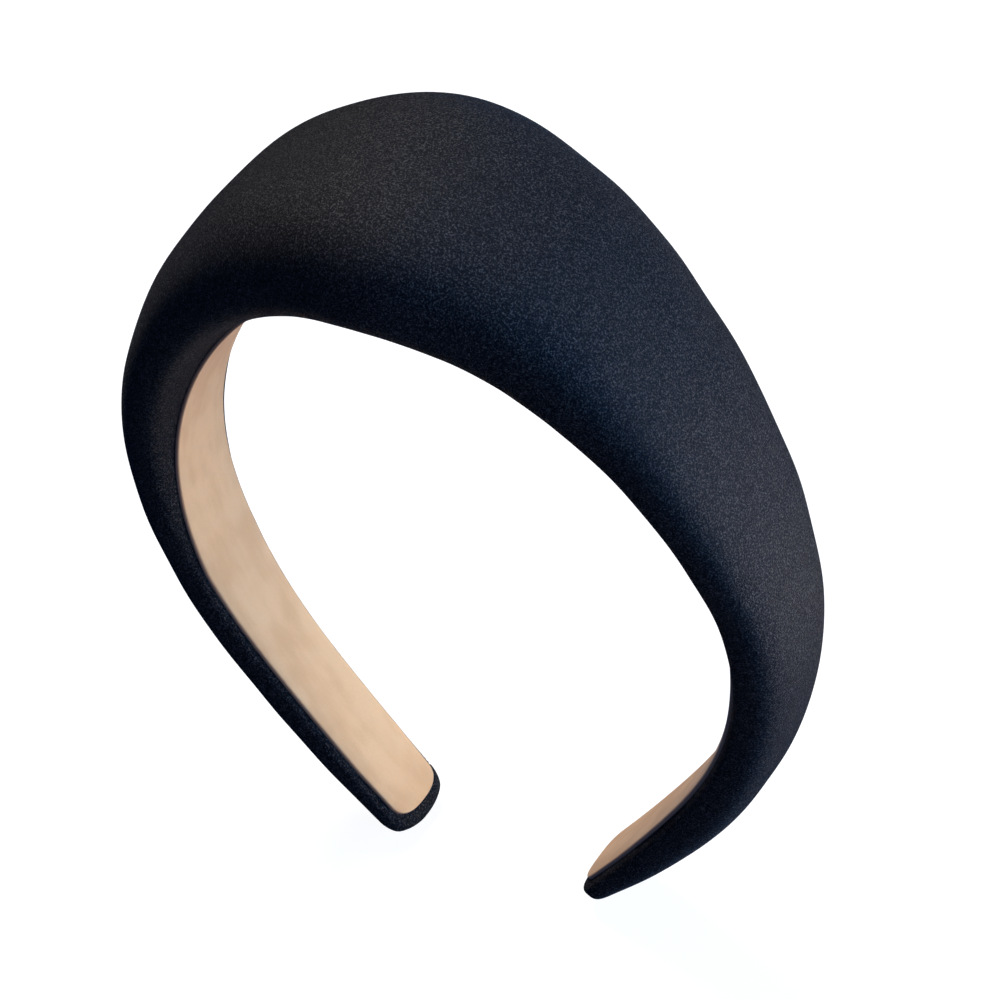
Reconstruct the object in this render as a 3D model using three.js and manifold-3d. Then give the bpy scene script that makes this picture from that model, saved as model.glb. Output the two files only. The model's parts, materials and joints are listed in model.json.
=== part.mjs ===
// A high padded headband. A springy plastic hoop carries a moulded foam pad on its outer
// side. A satin cover wraps both, its hems turned in under the hoop, and a suede strip closes
// the inside. The band bends a little at both shoulders when it is put on, so every layer is
// divided there into a crown and two arms, with a thin wedge of clearance between them.
//
// Frame: the middle of the band's inner face is the origin, +Z points out of the top of the
// head, +X to the wearer's one side and Y runs from front to back.

import * as THREE from 'three';
import Module from 'manifold-3d';
import { mergeVertices } from 'three/addons/utils/BufferGeometryUtils.js';

const wasm = await Module();
wasm.setup();

// ---- Driving dimensions, in millimetres and degrees ----

const HALF_ARC = 190; // along the inner face, from the middle of the crown to a tip
const TIP_TURN = 129.5; // how far the band turns between the crown and a tip

// Named places along the half arc: 0 is the middle of the crown and 1 is the tip.
const PLACE = {
  crown: 0, brow: 0.1, temple: 0.22, shoulder: 0.35, elbow: 0.48, arm: 0.62, ear: 0.8, tip: 1,
};
const BEND_PLACE = { crown: 0, temple: 0.15, shoulder: 0.3, elbow: 0.5, arm: 0.7, ear: 0.85, tip: 1 };
const INNER_PLACE = { crown: 0, shoulder: 0.3, arm: 0.65, tip: 1 };

// How sharply the band bends at each place, compared with its average.
const BEND = { crown: 1.79, temple: 1.41, shoulder: 1.08, elbow: 1.42, arm: 0.88, ear: 0.15, tip: 0.15 };

// Width of the covered band from front to back, and its depth from inner to outer face.
const WIDTH = {
  crown: 53, brow: 47.2, temple: 39.8, shoulder: 33, elbow: 25.8, arm: 20.6, ear: 18, tip: 17.5,
};
const DEPTH = {
  crown: 29.2, brow: 25.8, temple: 19, shoulder: 13.8, elbow: 11.8, arm: 10.6, ear: 10, tip: 5,
};

// Rounding of the band's section: its widest level as a share of the depth, and how square
// the shoulders above and below that level are (2 is an ellipse).
const WIDEST_LEVEL = 0.4;
const OUTER_SQUARENESS = 2.9;
const INNER_SQUARENESS = { crown: 2.7, shoulder: 3, arm: 3.8, tip: 3.8 };

// The tips are rounded: the nose is this share of the tip's width, over this length.
const NOSE_SHARE = 0.35;
const NOSE_LENGTH = 6.3;

const COVER_WALL = 0.6; // satin with its backing
const HEM_ROOM = 0.85; // between the hems and the hoop, taken up by the curve of the hems
const HOOP_THICKNESS = 1.4;
const HOOP_EDGE_CHAMFER = 0.4;
const HOOP_SIDE_CLEARANCE = 0.5;
const HOOP_END_CLEARANCE = 1;
const PAD_TAPE_THICKNESS = 0.3;
const PAD_TAPE_INSET = 1.2; // from the hoop's edge to the tape's
const PAD_CLEARANCE = 0.35; // between the foam and the cover's inside
const PAD_END_INSET = 10; // the foam stops this far before a tip
const LAYER_GAP = 0.3; // between two layers that are glued together

// Width of the suede strip, which stops a little before the tips.
const LINING_WIDTH = { crown: 18, shoulder: 15.5, arm: 18, tip: 14 };
const LINING_THICKNESS = 0.8;
const LINING_END_INSET = 3.5;
const HEM_UNDER_LINING = 3; // how far the satin's hems reach under the suede
const LINING_TAPE_SIDE_CLEARANCE = 0.4;

// The flexing place at each shoulder, and the clearance wedge that lets the arm swing.
const FLEX_PLACE = 0.3;
const FLEX_SQUEEZE = 6; // how far an arm can swing inwards
const FLEX_SLACK = 1; // wedge angle that is left at full squeeze
const SKIN_GAP = 0.3; // gap at the outer skin, where the arm pivots

const LENGTHWISE_STEPS = 45; // odd, so that one step lies flat across the crown
const SECTION_POINTS = 20; // even, so that one facet lies flat on top
const PAD_POINTS = 14;
const NOSE_STEPS = 4;
const LINE_STEPS = 1900; // the band's line is summed up in this many steps
const MERGE_DISTANCE = 1e-4;

// ---- The band's line ----

// A smooth curve through named values, level at the crown because both halves mirror it.
function profile(places, values) {
  const at = Object.keys(places).map((key) => places[key]);
  const value = Object.keys(places).map((key) => values[key]);
  const rise = at.slice(1).map((x, i) => (value[i + 1] - value[i]) / (x - at[i]));
  const slope = at.map((_, i) => {
    if (i === 0) return 0;
    if (i === at.length - 1) return rise[i - 1];
    if (rise[i - 1] * rise[i] <= 0) return 0;
    return (2 * rise[i - 1] * rise[i]) / (rise[i - 1] + rise[i]);
  });
  return (s) => {
    const u = Math.min(Math.abs(s) / HALF_ARC, 1);
    const i = Math.min(at.findLastIndex((x) => x <= u), at.length - 2);
    const span = at[i + 1] - at[i];
    const t = (u - at[i]) / span;
    return (
      value[i] * (1 + 2 * t) * (1 - t) ** 2
      + slope[i] * span * t * (1 - t) ** 2
      + value[i + 1] * t * t * (3 - 2 * t)
      + slope[i + 1] * span * t * t * (t - 1)
    );
  };
}

const bendAt = profile(BEND_PLACE, BEND);
const depthAt = profile(PLACE, DEPTH);
const innerSquarenessAt = profile(INNER_PLACE, INNER_SQUARENESS);
const liningWidthAt = profile(INNER_PLACE, LINING_WIDTH);
const plainWidthAt = profile(PLACE, WIDTH);

// The band's width with the rounded nose of its tips.
function widthAt(s) {
  const left = THREE.MathUtils.clamp((HALF_ARC - Math.abs(s)) / NOSE_LENGTH, 0, 1);
  const round = Math.sqrt(1 - (1 - left) ** 2);
  return plainWidthAt(s) * (NOSE_SHARE + (1 - NOSE_SHARE) * round);
}

// The middle of the inner face, drawn by turning steadily as the bend says. A point of it is
// asked for by its length from the crown, negative on the left side.
class BandLine {
  constructor() {
    this.step = HALF_ARC / LINE_STEPS;
    const bends = Array.from({ length: LINE_STEPS }, (_, i) => bendAt((i + 0.5) * this.step));
    const wholeBend = bends.reduce((sum, bend) => sum + bend, 0);
    const share = THREE.MathUtils.degToRad(TIP_TURN) / wholeBend;
    this.points = [{ x: 0, z: 0, turn: 0 }];
    for (const bend of bends) {
      const last = this.points.at(-1);
      const middle = last.turn + (share * bend) / 2;
      this.points.push({
        x: last.x + this.step * Math.cos(middle),
        z: last.z - this.step * Math.sin(middle),
        turn: last.turn + share * bend,
      });
    }
  }

  // A point of the band: s along it, y across it and h out from its inner face.
  place(s, y, h) {
    const side = Math.sign(s) || 1;
    const i = Math.min(Math.abs(s) / this.step, this.points.length - 1);
    const a = this.points[Math.floor(i)];
    const b = this.points[Math.ceil(i)];
    const t = i - Math.floor(i);
    const turn = THREE.MathUtils.lerp(a.turn, b.turn, t);
    const x = THREE.MathUtils.lerp(a.x, b.x, t) + h * Math.sin(turn);
    const z = THREE.MathUtils.lerp(a.z, b.z, t) + h * Math.cos(turn);
    return new THREE.Vector3(side * x, y, z);
  }
}

const line = new BandLine();

// ---- Levels of the layers above the inner face ----

const hoopBottom = COVER_WALL + HEM_ROOM;
const hoopTop = hoopBottom + HOOP_THICKNESS;
const padTapeBottom = hoopTop + LAYER_GAP;
const padTapeTop = padTapeBottom + PAD_TAPE_THICKNESS;
const padBottom = padTapeTop + LAYER_GAP;
const liningTop = -LAYER_GAP;
const liningBottom = liningTop - LINING_THICKNESS;

// ---- Sections ----

// The rounded outline of the band at s, drawn in by inset on all sides.
function skin(s, inset) {
  return {
    half: widthAt(s) / 2 - inset,
    middle: WIDEST_LEVEL * depthAt(s),
    rise: (1 - WIDEST_LEVEL) * depthAt(s) - inset,
    drop: WIDEST_LEVEL * depthAt(s) - inset,
    squareness: innerSquarenessAt(s),
  };
}

// Half the width of a skin at a level.
function halfWidthAt({ half, middle, rise, drop, squareness }, level) {
  const power = level >= middle ? OUTER_SQUARENESS : squareness;
  const part = Math.abs(level - middle) / (level >= middle ? rise : drop);
  return half * (1 - Math.min(part, 1) ** power) ** (1 / power);
}

function skinPoint({ half, middle, rise, drop, squareness }, angle) {
  const upper = Math.sin(angle) >= 0;
  const power = 2 / (upper ? OUTER_SQUARENESS : squareness);
  const y = Math.sign(Math.cos(angle)) * Math.abs(Math.cos(angle)) ** power;
  const h = Math.abs(Math.sin(angle)) ** power;
  return [half * y, middle + (upper ? rise * h : -drop * h)];
}

function skinOutline(s, inset) {
  const outline = skin(s, inset);
  return Array.from({ length: SECTION_POINTS }, (_, i) => (
    skinPoint(outline, ((i + 0.5) * 2 * Math.PI) / SECTION_POINTS)
  ));
}

// The foam: the skin's outline cut off flat at the pad's base.
function padOutline(s) {
  const outline = skin(s, COVER_WALL + PAD_CLEARANCE);
  const above = padBottom >= outline.middle;
  const height = Math.abs(padBottom - outline.middle) / (above ? outline.rise : outline.drop);
  const power = (above ? OUTER_SQUARENESS : outline.squareness) / 2;
  const dip = Math.asin(Math.min(height, 1) ** power);
  const start = above ? dip : -dip;
  return Array.from({ length: PAD_POINTS }, (_, i) => (
    skinPoint(outline, start + (i * (Math.PI - 2 * start)) / (PAD_POINTS - 1))
  ));
}

function strip(half, bottom, top, chamfer = 0) {
  if (chamfer === 0) return [[half, bottom], [half, top], [-half, top], [-half, bottom]];
  return [
    [half - chamfer, bottom],
    [half, bottom + chamfer],
    [half, top - chamfer],
    [half - chamfer, top],
    [chamfer - half, top],
    [-half, top - chamfer],
    [-half, bottom + chamfer],
    [chamfer - half, bottom],
  ];
}

function hoopHalfAt(s) {
  const inside = skin(s, COVER_WALL);
  return Math.min(halfWidthAt(inside, hoopBottom), halfWidthAt(inside, hoopTop)) - HOOP_SIDE_CLEARANCE;
}

const slotHalfAt = (s) => liningWidthAt(s) / 2 - HEM_UNDER_LINING;

// ---- Solids ----

// Stations along a layer that ends at end on both sides, shared by all layers so that their
// facets lie side by side.
function stations(end) {
  const shared = [];
  for (let i = 1; i < LENGTHWISE_STEPS; i += 1) {
    shared.push(HALF_ARC * (-1 + (2 * i) / LENGTHWISE_STEPS));
  }
  for (let i = 0; i < NOSE_STEPS; i += 1) {
    const noseEnd = HALF_ARC - NOSE_LENGTH * (1 - i / NOSE_STEPS) ** 2;
    shared.push(noseEnd, -noseEnd);
  }
  const inside = shared.filter((s) => Math.abs(s) < end - SKIN_GAP);
  return [-end, ...inside.sort((a, b) => a - b), end];
}

function solidFrom(geometry) {
  const bare = new THREE.BufferGeometry();
  bare.setAttribute('position', geometry.getAttribute('position'));
  if (geometry.index) bare.setIndex(geometry.index);
  const merged = mergeVertices(bare, MERGE_DISTANCE);
  return new wasm.Manifold(new wasm.Mesh({
    numProp: 3,
    vertProperties: new Float32Array(merged.attributes.position.array),
    triVerts: new Uint32Array(merged.index.array),
  }));
}

// A closed body through one outline at each station.
function loft(end, outlineAt) {
  const rings = stations(end).map((s) => outlineAt(s).map(([y, h]) => line.place(s, y, h)));
  const size = rings[0].length;
  const index = [];
  for (let r = 0; r + 1 < rings.length; r += 1) {
    for (let i = 0; i < size; i += 1) {
      const a = r * size + i;
      const b = r * size + ((i + 1) % size);
      index.push(a, b, b + size, a, b + size, a + size);
    }
  }
  const last = (rings.length - 1) * size;
  for (let i = 1; i + 1 < size; i += 1) {
    index.push(0, i + 1, i, last, last + i, last + i + 1);
  }
  const geometry = new THREE.BufferGeometry().setFromPoints(rings.flat());
  geometry.setIndex(index);
  return solidFrom(geometry);
}

// One face of the clearance wedge at the right shoulder, in the XZ plane. It starts at the
// pivot on the outer skin and leans back by half the wedge angle; sense is 1 for the arm's
// face and -1 for the crown's. Outside the skin it runs straight on.
function wedgeFace(sense) {
  const flexS = FLEX_PLACE * HALF_ARC;
  const skinPlace = line.place(flexS, 0, depthAt(flexS));
  const foot = line.place(flexS, 0, 0);
  const outward = new THREE.Vector2(skinPlace.x - foot.x, skinPlace.z - foot.z).normalize();
  const along = new THREE.Vector2(outward.y, -outward.x).multiplyScalar(sense);
  const lean = THREE.MathUtils.degToRad(FLEX_SQUEEZE + FLEX_SLACK) / 2;
  const reach = 2 * depthAt(flexS);
  const pivot = new THREE.Vector2(skinPlace.x, skinPlace.z).addScaledVector(along, SKIN_GAP / 2);
  const outer = pivot.clone().addScaledVector(outward, HALF_ARC);
  const inner = pivot.clone().addScaledVector(outward, -reach * Math.cos(lean));
  inner.addScaledVector(along, reach * Math.sin(lean));
  return { outer, pivot, inner };
}

// The tall block that holds one body of the band and ends at the faces of the wedges.
function bodyRegion(body) {
  const far = 2 * HALF_ARC;
  const mirrored = ({ x, y }) => new THREE.Vector2(-x, y);
  const { outer, pivot, inner } = wedgeFace(body === 'crown' ? -1 : 1);
  const crown = [inner, pivot, outer, new THREE.Vector2(outer.x, far)];
  const rightArm = [
    outer,
    pivot,
    inner,
    new THREE.Vector2(SKIN_GAP, inner.y),
    new THREE.Vector2(SKIN_GAP, -far),
    new THREE.Vector2(far, -far),
    new THREE.Vector2(far, outer.y),
  ];
  const outlines = {
    crown: [...crown, ...crown.map(mirrored).reverse()],
    right_arm: rightArm,
    left_arm: rightArm.map(mirrored).reverse(),
  };
  const deep = 2 * WIDTH.crown;
  const block = new THREE.ExtrudeGeometry(
    new THREE.Shape(outlines[body]),
    { depth: deep, bevelEnabled: false },
  );
  block.rotateX(Math.PI / 2);
  block.translate(0, deep / 2, 0);
  return solidFrom(block);
}

function buildCover() {
  const outside = loft(HALF_ARC, (s) => skinOutline(s, 0));
  const inside = loft(HALF_ARC - COVER_WALL, (s) => skinOutline(s, COVER_WALL));
  const slotEnd = HALF_ARC - LINING_END_INSET - HEM_UNDER_LINING;
  const slot = loft(slotEnd, (s) => strip(slotHalfAt(s), liningBottom, skin(s, 0).middle));
  return outside.subtract(inside).subtract(slot);
}

const buildPad = () => loft(HALF_ARC - PAD_END_INSET, padOutline);

const buildHoop = () => loft(HALF_ARC - COVER_WALL - HOOP_END_CLEARANCE, (s) => (
  strip(hoopHalfAt(s), hoopBottom, hoopTop, HOOP_EDGE_CHAMFER)
));

const buildPadTape = () => loft(HALF_ARC - PAD_END_INSET, (s) => (
  strip(hoopHalfAt(s) - PAD_TAPE_INSET, padTapeBottom, padTapeTop)
));

const buildLiningTape = () => {
  const end = HALF_ARC - LINING_END_INSET - HEM_UNDER_LINING - LINING_TAPE_SIDE_CLEARANCE;
  return loft(end, (s) => strip(slotHalfAt(s) - LINING_TAPE_SIDE_CLEARANCE, 0, hoopBottom - LAYER_GAP));
};

const buildLining = () => loft(HALF_ARC - LINING_END_INSET, (s) => (
  strip(liningWidthAt(s) / 2, liningBottom, liningTop)
));

// ---- The assembly ----

function finish(name, color, roughness) {
  return new THREE.MeshStandardMaterial({ name, color, roughness, metalness: 0 });
}

const layers = [
  { name: 'satin_cover', solid: buildCover(), material: () => finish('satin', 0x16161a, 0.45) },
  { name: 'foam_pad', solid: buildPad(), material: () => finish('foam', 0xe9e4d6, 0.95) },
  { name: 'pad_tape', solid: buildPadTape(), material: () => finish('tape', 0xd9d4bf, 0.5) },
  { name: 'plastic_hoop', solid: buildHoop(), material: () => finish('hoop', 0x202022, 0.35) },
  { name: 'lining_tape', solid: buildLiningTape(), material: () => finish('tape', 0xd9d4bf, 0.5) },
  { name: 'suede_lining', solid: buildLining(), material: () => finish('suede', 0xd8b58f, 0.9) },
];

function meshFrom(solid, name, material) {
  const { numProp, vertProperties, triVerts } = solid.getMesh();
  const geometry = new THREE.BufferGeometry();
  geometry.setAttribute('position', new THREE.BufferAttribute(vertProperties, numProp));
  geometry.setIndex(new THREE.BufferAttribute(triVerts, 1));
  const flat = geometry.toNonIndexed();
  flat.computeVertexNormals();
  const mesh = new THREE.Mesh(flat, material);
  mesh.name = name;
  return mesh;
}

const headband = new THREE.Group();
headband.name = 'headband';

for (const body of ['crown', 'left_arm', 'right_arm']) {
  const region = bodyRegion(body);
  const group = new THREE.Group();
  group.name = body;
  for (const { name, solid, material } of layers) {
    group.add(meshFrom(solid.intersect(region), `${body}_${name}`, material()));
  }
  headband.add(group);
}

export default headband;
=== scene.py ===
"""A high padded headband: satin over a moulded foam pad and a springy plastic hoop.

The whole band is drawn by one form, which turns steadily along its half arc and gives a
rounded section at every place. Each layer is a class of its own, built once for each half of
the band.
"""

import json
import logging
import math
from collections.abc import Callable, Sequence
from dataclasses import dataclass
from enum import Enum
from functools import cached_property
from typing import Any

import bmesh
import bpy
import numpy as np
from mathutils import Matrix, Vector


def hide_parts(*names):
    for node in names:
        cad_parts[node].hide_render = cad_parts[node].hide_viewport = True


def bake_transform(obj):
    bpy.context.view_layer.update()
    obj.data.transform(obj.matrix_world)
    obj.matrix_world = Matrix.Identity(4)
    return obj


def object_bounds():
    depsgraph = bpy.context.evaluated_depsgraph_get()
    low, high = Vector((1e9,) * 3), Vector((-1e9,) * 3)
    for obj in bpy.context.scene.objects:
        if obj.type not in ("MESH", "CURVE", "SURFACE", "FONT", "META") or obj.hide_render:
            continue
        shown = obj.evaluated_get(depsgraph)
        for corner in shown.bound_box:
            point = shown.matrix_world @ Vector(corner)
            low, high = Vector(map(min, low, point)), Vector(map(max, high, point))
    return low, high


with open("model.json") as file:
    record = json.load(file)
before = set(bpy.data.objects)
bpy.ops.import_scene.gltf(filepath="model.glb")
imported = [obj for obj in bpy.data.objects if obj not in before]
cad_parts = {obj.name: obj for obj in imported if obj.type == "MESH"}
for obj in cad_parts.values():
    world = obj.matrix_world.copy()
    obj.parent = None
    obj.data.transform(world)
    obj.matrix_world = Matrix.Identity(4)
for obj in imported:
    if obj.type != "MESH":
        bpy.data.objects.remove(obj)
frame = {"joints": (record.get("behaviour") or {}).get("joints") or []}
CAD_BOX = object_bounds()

log = logging.getLogger("headband")

MERGE_DISTANCE = 1e-6
SEAM_RING = 0.00002
SHARP_ANGLE = math.radians(48)


class Half(Enum):
    """The two halves of the band, with the side of the head that each lies on."""

    LEFT = -1
    RIGHT = 1

    @property
    def arm(self) -> str:
        """The body of this half's arm."""
        return f"{self.name.lower()}_arm"

    @property
    def joint(self) -> dict[str, Any]:
        """The record of the joint between the crown and this half's arm."""
        return next(j for j in frame["joints"] if j["child"] == self.arm)


# ---- The form of the band ----


@dataclass(frozen=True)
class Profile:
    """A smooth curve through values along the half arc, level at the crown.

    Args:
        places: Shares of the half arc, from 0 at the crown to 1 at the tip.
        values: The value at each place.
    """

    places: tuple[float, ...]
    values: tuple[float, ...]

    def at(self, share: np.ndarray) -> np.ndarray:
        """Reads the curve.

        Args:
            share: Places along the half arc.

        Returns:
            The value at each of them.
        """
        places, values = np.array(self.places), np.array(self.values)
        rise = np.diff(values) / np.diff(places)
        both = rise[:-1] * rise[1:]
        total = np.where(both > 0, rise[:-1] + rise[1:], 1)
        slope = np.concatenate([[0], np.where(both > 0, 2 * both / total, 0), rise[-1:]])
        u = np.clip(np.abs(share), 0, 1)
        i = np.clip(np.searchsorted(places, u, side="right") - 1, 0, len(places) - 2)
        span = places[i + 1] - places[i]
        t = (u - places[i]) / span
        return (
            values[i] * (1 + 2 * t) * (1 - t) ** 2
            + slope[i] * span * t * (1 - t) ** 2
            + values[i + 1] * t * t * (3 - 2 * t)
            + slope[i + 1] * span * t * t * (t - 1)
        )


def rounded(left: np.ndarray, length: float, power: float = 2.0) -> np.ndarray:
    """The outline of a rounded end: 0 at the end and 1 from one length before it.

    Args:
        left: Distance left to the end.
        length: Length of the rounding.
        power: 2 for an ellipse, more for a blunter end.

    Returns:
        The share of the full width at each distance.
    """
    part = 1 - np.clip(left / length, 0, 1)
    return np.clip(1 - part**power, 0, 1) ** (1 / power)


@dataclass(frozen=True)
class BandForm:
    """The line of the band, its section and the levels of its layers, in metres."""

    half_arc: float = 0.190
    tip_turn: float = math.radians(129.5)
    line_steps: int = 1900
    bend: Profile = Profile(
        (0, 0.15, 0.3, 0.5, 0.7, 0.85, 1), (1.79, 1.41, 1.08, 1.42, 0.88, 0.15, 0.15)
    )
    width: Profile = Profile(
        (0, 0.1, 0.22, 0.35, 0.48, 0.62, 0.8, 1),
        (0.053, 0.0472, 0.0398, 0.0330, 0.0258, 0.0206, 0.018, 0.0175),
    )
    depth: Profile = Profile(
        (0, 0.1, 0.22, 0.35, 0.48, 0.62, 0.8, 1),
        (0.0292, 0.0258, 0.0190, 0.0138, 0.0118, 0.0106, 0.0100, 0.005),
    )
    inner_squareness: Profile = Profile((0, 0.3, 0.65, 1), (2.7, 3.0, 3.8, 3.8))
    outer_squareness: float = 2.9
    widest_level: float = 0.4
    nose_share: float = 0.35
    nose_length: float = 0.0063
    tip_rounding: float = 0.0026
    cover_wall: float = 0.0006
    hem_room: float = 0.00085
    hoop_thickness: float = 0.0014
    layer_gap: float = 0.0003
    pad_tape_thickness: float = 0.0003
    pad_clearance: float = 0.00035
    pad_end_inset: float = 0.010
    pad_tape_inset: float = 0.0012
    hoop_side_room: float = 0.0005
    hoop_end_room: float = 0.001
    lining_end_inset: float = 0.0035
    hem_under_lining: float = 0.003
    slot_rounding: float = 0.004
    lining_tape_inset: float = 0.0034
    lining_tape_end_room: float = 0.0004
    lining_width: Profile = Profile((0, 0.3, 0.65, 1), (0.018, 0.0155, 0.018, 0.014))

    @property
    def hoop_bottom(self) -> float:
        """Level of the hoop's inner face."""
        return self.cover_wall + self.hem_room

    @property
    def hoop_top(self) -> float:
        """Level of the hoop's outer face."""
        return self.hoop_bottom + self.hoop_thickness

    @property
    def pad_tape_bottom(self) -> float:
        """Level of the underside of the pad's tape."""
        return self.hoop_top + self.layer_gap

    @property
    def pad_bottom(self) -> float:
        """Level of the foam's flat base."""
        return self.pad_tape_bottom + self.pad_tape_thickness + self.layer_gap

    @cached_property
    def line(self) -> np.ndarray:
        """The middle of the inner face, as rows of length, x, z and turn."""
        step = self.half_arc / self.line_steps
        at = (np.arange(self.line_steps) + 0.5) * step
        bends = self.bend.at(at / self.half_arc)
        turns = bends * self.tip_turn / bends.sum()
        turn = np.concatenate([[0], np.cumsum(turns)])
        middle = turn[:-1] + turns / 2
        x = np.concatenate([[0], np.cumsum(step * np.cos(middle))])
        z = np.concatenate([[0], np.cumsum(-step * np.sin(middle))])
        return np.stack([np.arange(self.line_steps + 1) * step, x, z, turn])

    def place(self, half: Half, s: np.ndarray, y: np.ndarray, h: np.ndarray) -> np.ndarray:
        """Puts points on the band.

        Args:
            half: The half of the band.
            s: Length along the inner face from the crown.
            y: Distance across the band.
            h: Height out from the inner face.

        Returns:
            The points, with a last axis of three.
        """
        s, y, h = np.broadcast_arrays(s, y, h)
        lengths, xs, zs, turns = self.line
        turn = np.interp(s, lengths, turns)
        x = np.interp(s, lengths, xs) + h * np.sin(turn)
        z = np.interp(s, lengths, zs) + h * np.cos(turn)
        return np.stack([half.value * x, y, z], axis=-1)

    def half_width(self, s: np.ndarray) -> np.ndarray:
        """Half the width of the covered band, narrowed at the nose of the tip."""
        left = self.half_arc - s
        nose = self.nose_share + (1 - self.nose_share) * rounded(left, self.nose_length)
        return self.width.at(s / self.half_arc) / 2 * nose

    def section(
        self, s: np.ndarray, angle: np.ndarray, inset: float
    ) -> tuple[np.ndarray, np.ndarray]:
        """Points of the rounded section, drawn in on all sides.

        Args:
            s: Length along the band.
            angle: Direction from the section's middle, 0 at the widest point.
            inset: How far the outline is drawn in.

        Returns:
            Distance across the band and height above its inner face.
        """
        c, d = np.cos(angle), np.sin(angle)
        share = s / self.half_arc
        upper = d >= 0
        power = np.where(upper, self.outer_squareness, self.inner_squareness.at(share))
        reach = (np.abs(c) ** power + np.abs(d) ** power) ** (-1 / power)
        depth = self.depth.at(share)
        middle = self.widest_level * depth
        height = np.where(upper, depth - middle, middle) - inset
        return (self.half_width(s) - inset) * reach * c, middle + height * reach * d

    def hoop_half(self, s: np.ndarray) -> np.ndarray:
        """Half the hoop's width, drawn in from the satin at both of its faces."""
        low = self.width_at_level(s, self.hoop_bottom, self.cover_wall)
        high = self.width_at_level(s, self.hoop_top, self.cover_wall)
        return np.minimum(low, high) - self.hoop_side_room

    def lining_tape_half(self, s: np.ndarray) -> np.ndarray:
        """Half the width of the lining's tape, which lies between the two hems."""
        return self.lining_width.at(s / self.half_arc) / 2 - self.lining_tape_inset

    def edge_angle(self, s: np.ndarray, y: np.ndarray) -> np.ndarray:
        """The direction below the middle at which the section is y wide on each side."""
        power = self.inner_squareness.at(s / self.half_arc)
        q = np.clip(y / self.half_width(s), 0, 1)
        return np.arctan2((1 - q**power) ** (1 / power), q)

    def width_at_level(self, s: np.ndarray, level: float, inset: float) -> np.ndarray:
        """Half the inside width of the section at a level."""
        share = s / self.half_arc
        depth = self.depth.at(share)
        middle = self.widest_level * depth
        upper = level >= middle
        power = np.where(upper, self.outer_squareness, self.inner_squareness.at(share))
        height = np.where(upper, depth - middle, middle) - inset
        part = np.clip(np.abs(level - middle) / height, 0, 1)
        return (self.half_width(s) - inset) * (1 - part**power) ** (1 / power)

    def slot_half(self, s: np.ndarray) -> np.ndarray:
        """Half the gap between the two hems, which closes in a round before the tip."""
        end = self.half_arc - self.lining_end_inset - self.hem_under_lining
        plain = self.lining_width.at(s / self.half_arc) / 2 - self.hem_under_lining
        return plain * rounded(end - s, self.slot_rounding)


# ---- Meshes ----


@dataclass
class Net:
    """A net of points, rows along the band and columns across or round it.

    Args:
        points: Rows by columns by three.
        cloth: Rows by columns by two, the place on the flat cloth in metres.
        edge: Rows by columns, 0 in the middle of a strip and 1 at its cut edge.
    """

    points: np.ndarray
    cloth: np.ndarray
    edge: np.ndarray

    def normals(self) -> np.ndarray:
        """The outward direction at each point of a net that runs over the band."""
        along = np.gradient(self.points, axis=0)
        across = np.gradient(self.points, axis=1)
        normal = np.cross(across, along)
        normal /= np.maximum(np.linalg.norm(normal, axis=2, keepdims=True), 1e-12)
        side = np.sign(self.points[-1, 0, 0]) or 1.0
        return normal * side


def add_object(name: str, data: Any) -> bpy.types.Object:
    """Makes an object and links it to the scene."""
    made = bpy.data.objects.new(name, data)
    bpy.context.scene.collection.objects.link(made)
    return made


def turn_outwards(work: bmesh.types.BMesh) -> None:
    """Turns the faces of a closed body round if they face inwards."""
    if work.calc_volume(signed=True) < 0:
        bmesh.ops.reverse_faces(work, faces=work.faces)


def tube_caps(rows: int, columns: int) -> list[tuple[int, ...]]:
    """Faces that close both ends of a tube whose columns mirror each other.

    Args:
        rows: Rows of the tube's net.
        columns: Columns of the net.

    Returns:
        The corners of each face, in ladders across both ends.
    """
    faces = []
    for first in (0, (rows - 1) * columns):
        for i in range((columns - 1) // 2):
            j = columns - 1 - i
            if j - 1 > i + 1:
                faces.append((first + i, first + i + 1, first + j - 1, first + j))
            elif j > i + 1:
                faces.append((first + i, first + i + 1, first + j))
    return faces


def mesh_from_net(name: str, net: Net, half: Half, tube: bool) -> bpy.types.Object:
    """Makes an object from a net.

    Args:
        name: The object's name.
        net: Its points and cloth coordinates.
        half: The half it lies on, which sets the winding of its faces.
        tube: Whether its columns close to a tube with ends.

    Returns:
        The object, with doubles merged and faces turned outwards.
    """
    rows, columns = net.points.shape[:2]
    corner = (np.arange(rows - 1)[:, None] * columns + np.arange(columns - 1)).reshape(-1)
    around = [corner, corner + 1, corner + columns + 1, corner + columns]
    if half is Half.LEFT:
        around.reverse()
    faces = [tuple(int(v) for v in quad) for quad in np.stack(around, axis=1)]
    if tube:
        faces += tube_caps(rows, columns)
    mesh = bpy.data.meshes.new(name)
    mesh.from_pydata(net.points.reshape(-1, 3).tolist(), [], faces)
    corners = np.zeros(len(mesh.loops), np.int32)
    mesh.loops.foreach_get("vertex_index", corners)
    cloth = mesh.uv_layers.new(name="Cloth")
    cloth.data.foreach_set("uv", net.cloth.reshape(-1, 2)[corners].astype(np.float32).ravel())
    edge = mesh.attributes.new("edge", "FLOAT", "POINT")
    edge.data.foreach_set("value", net.edge.astype(np.float32).ravel())
    work = bmesh.new()
    work.from_mesh(mesh)
    bmesh.ops.remove_doubles(work, verts=work.verts, dist=MERGE_DISTANCE)
    if tube:
        bmesh.ops.recalc_face_normals(work, faces=work.faces)
        turn_outwards(work)
    work.to_mesh(mesh)
    work.free()
    return add_object(name, mesh)


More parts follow.
